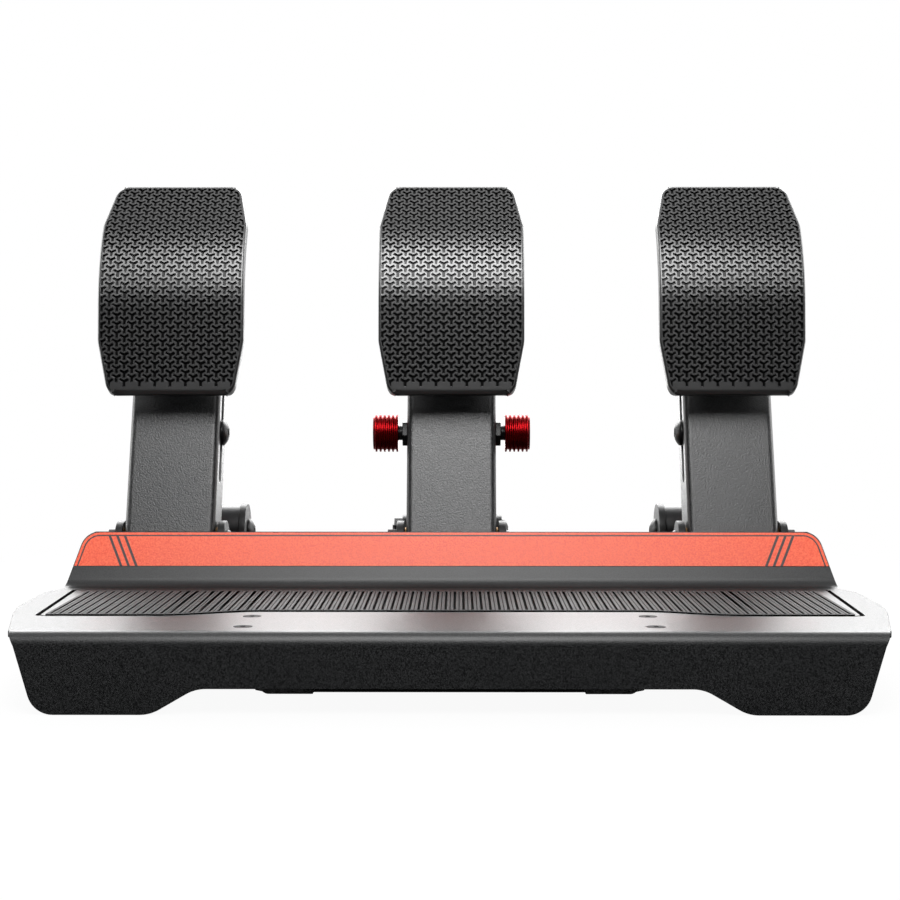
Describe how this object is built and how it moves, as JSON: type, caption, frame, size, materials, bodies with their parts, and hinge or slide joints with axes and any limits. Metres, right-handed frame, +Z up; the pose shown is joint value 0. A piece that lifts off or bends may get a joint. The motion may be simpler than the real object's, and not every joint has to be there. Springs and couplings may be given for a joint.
{
  "type": "sim racing pedal set",
  "caption": "Floor pedal unit for driving simulators: hinged clutch, brake and throttle arms with curved treaded pads, sprung struts, and a folded heel plate with a ribbed mat.",
  "frame": {"origin": "bottom centre of the bounding box, on the floor under the middle of the set", "axes": "+X to the driver's right along the width, +Y from the driver to the rear, +Z up"},
  "size_m": [0.407, 0.37, 0.248],
  "materials": {
    "powder_steel": "fine-textured dark gray powder coat",
    "base_steel": "black powder coat",
    "mat_rubber": "ribbed matte rubber",
    "foot_rubber": "matte",
    "orange_film": "satin printed film",
    "zinc_screws": "satin",
    "black_fasteners": "black oxide",
    "pad_polymer": "moulded tread",
    "bronze": "sintered",
    "bright_steel": "ground",
    "dark_alloy": "dark anodised",
    "spring_steel": "plain wire",
    "red_alloy": "red anodised, turned",
    "elastomer": "moulded",
    "cell_alloy": "machined",
    "black_plastic": "matte"
  },
  "bodies": {
    "base": {"heel_plate": "powder_steel", "heel_mat": "mat_rubber", "riser_decal": "orange_film", "base_plate": "base_steel", "deck_rail_left": "powder_steel", "deck_rail_right": "powder_steel", "deck_screws": "zinc_screws", "rail_screws": "black_fasteners", "rubber_feet": "foot_rubber", "bracket_bolts": "black_fasteners", "hinge_bolts": "black_fasteners", "hinge_nuts": "black_fasteners", "clutch_bracket": "powder_steel", "brake_bracket": "powder_steel", "throttle_bracket": "powder_steel", "clutch_sensor": "black_plastic", "throttle_sensor": "black_plastic", "control_box": "black_plastic", "control_lid": "black_plastic"},
    "clutch_pedal": {"clutch_arm": "powder_steel", "clutch_pivot_bushes": "bronze", "clutch_pad": "pad_polymer", "clutch_pad_bracket": "powder_steel", "clutch_pad_screws": "black_fasteners", "clutch_cross_spacers": "bright_steel", "clutch_cross_bolt": "black_fasteners", "clutch_magnet": "bright_steel"},
    "clutch_strut_lower": {"clutch_strut_tube": "dark_alloy", "clutch_preload_nut": "red_alloy", "clutch_spring": "spring_steel"},
    "clutch_strut_upper": {"clutch_strut_rod": "bright_steel"},
    "brake_pedal": {"brake_arm": "powder_steel", "brake_pivot_bushes": "bronze", "brake_pad": "pad_polymer", "brake_pad_bracket": "powder_steel", "brake_pad_screws": "black_fasteners", "brake_cross_spacers": "bright_steel", "brake_cross_stud": "black_fasteners", "brake_stud_nuts": "black_fasteners"},
    "brake_strut_lower": {"brake_strut_tube": "dark_alloy", "brake_preload_nut": "red_alloy", "brake_elastomer": "elastomer", "brake_load_cell": "cell_alloy"},
    "brake_strut_upper": {"brake_strut_rod": "bright_steel"},
    "throttle_pedal": {"throttle_arm": "powder_steel", "throttle_pivot_bushes": "bronze", "throttle_pad": "pad_polymer", "throttle_pad_bracket": "powder_steel", "throttle_pad_screws": "black_fasteners", "throttle_cross_spacers": "bright_steel", "throttle_cross_bolt": "black_fasteners", "throttle_magnet": "bright_steel"},
    "throttle_strut_lower": {"throttle_strut_tube": "dark_alloy", "throttle_preload_nut": "red_alloy", "throttle_spring": "spring_steel"},
    "throttle_strut_upper": {"throttle_strut_rod": "bright_steel"},
    "brake_knob_left": {"brake_knob_left": "red_alloy"},
    "brake_knob_right": {"brake_knob_right": "red_alloy"}
  },
  "joints": [
    {"name": "clutch_pivot", "type": "hinge", "parent": "base", "child": "clutch_pedal", "pos_m": [-0.15, 0.032, 0.0535], "axis": [-1, 0, 0], "range_deg": [0, 20], "stiffness_Nm_per_rad": 14, "springref_deg": -8.59},
    {"name": "clutch_strut_swing", "type": "hinge", "parent": "base", "child": "clutch_strut_lower", "pos_m": [-0.15, 0.133, 0.052], "axis": [-1, 0, 0], "range_deg": [0, 3]},
    {"name": "clutch_strut_stroke", "type": "slide", "parent": "clutch_strut_lower", "child": "clutch_strut_upper", "axis": [0, 0.7975, -0.6033], "range_m": [0, 0.0225], "deforming": ["clutch_spring"]},
    {"name": "brake_pivot", "type": "hinge", "parent": "base", "child": "brake_pedal", "pos_m": [0, 0.032, 0.0535], "axis": [-1, 0, 0], "range_deg": [0, 9], "stiffness_Nm_per_rad": 90, "springref_deg": -1.72},
    {"name": "brake_strut_swing", "type": "hinge", "parent": "base", "child": "brake_strut_lower", "pos_m": [0, 0.133, 0.052], "axis": [-1, 0, 0], "range_deg": [0, 3]},
    {"name": "brake_strut_stroke", "type": "slide", "parent": "brake_strut_lower", "child": "brake_strut_upper", "axis": [0, 0.7975, -0.6033], "range_m": [0, 0.0105], "deforming": ["brake_elastomer"]},
    {"name": "throttle_pivot", "type": "hinge", "parent": "base", "child": "throttle_pedal", "pos_m": [0.15, 0.032, 0.0535], "axis": [-1, 0, 0], "range_deg": [0, 20], "stiffness_Nm_per_rad": 10, "springref_deg": -11.46},
    {"name": "throttle_strut_swing", "type": "hinge", "parent": "base", "child": "throttle_strut_lower", "pos_m": [0.15, 0.133, 0.052], "axis": [-1, 0, 0], "range_deg": [0, 3]},
    {"name": "throttle_strut_stroke", "type": "slide", "parent": "throttle_strut_lower", "child": "throttle_strut_upper", "axis": [0, 0.7975, -0.6033], "range_m": [0, 0.0225], "deforming": ["throttle_spring"]},
    {"name": "brake_knob_left_turn", "type": "hinge", "parent": "brake_pedal", "child": "brake_knob_left", "pos_m": [-0.035, 0.05338, 0.11223], "axis": [1, 0, 0], "continuous": true},
    {"name": "brake_knob_right_turn", "type": "hinge", "parent": "brake_pedal", "child": "brake_knob_right", "pos_m": [0.035, 0.05338, 0.11223], "axis": [1, 0, 0], "continuous": true}
  ],
  "couplings": [
    {"joint": "clutch_strut_swing", "follows": "clutch_pivot", "ratio": 0.11587},
    {"joint": "clutch_strut_stroke", "follows": "clutch_pivot", "m_per_rad": 0.06127},
    {"joint": "brake_strut_swing", "follows": "brake_pivot", "ratio": 0.15696},
    {"joint": "brake_strut_stroke", "follows": "brake_pivot", "m_per_rad": 0.06062},
    {"joint": "throttle_strut_swing", "follows": "throttle_pivot", "ratio": 0.11587},
    {"joint": "throttle_strut_stroke", "follows": "throttle_pivot", "m_per_rad": 0.06127}
  ]
}
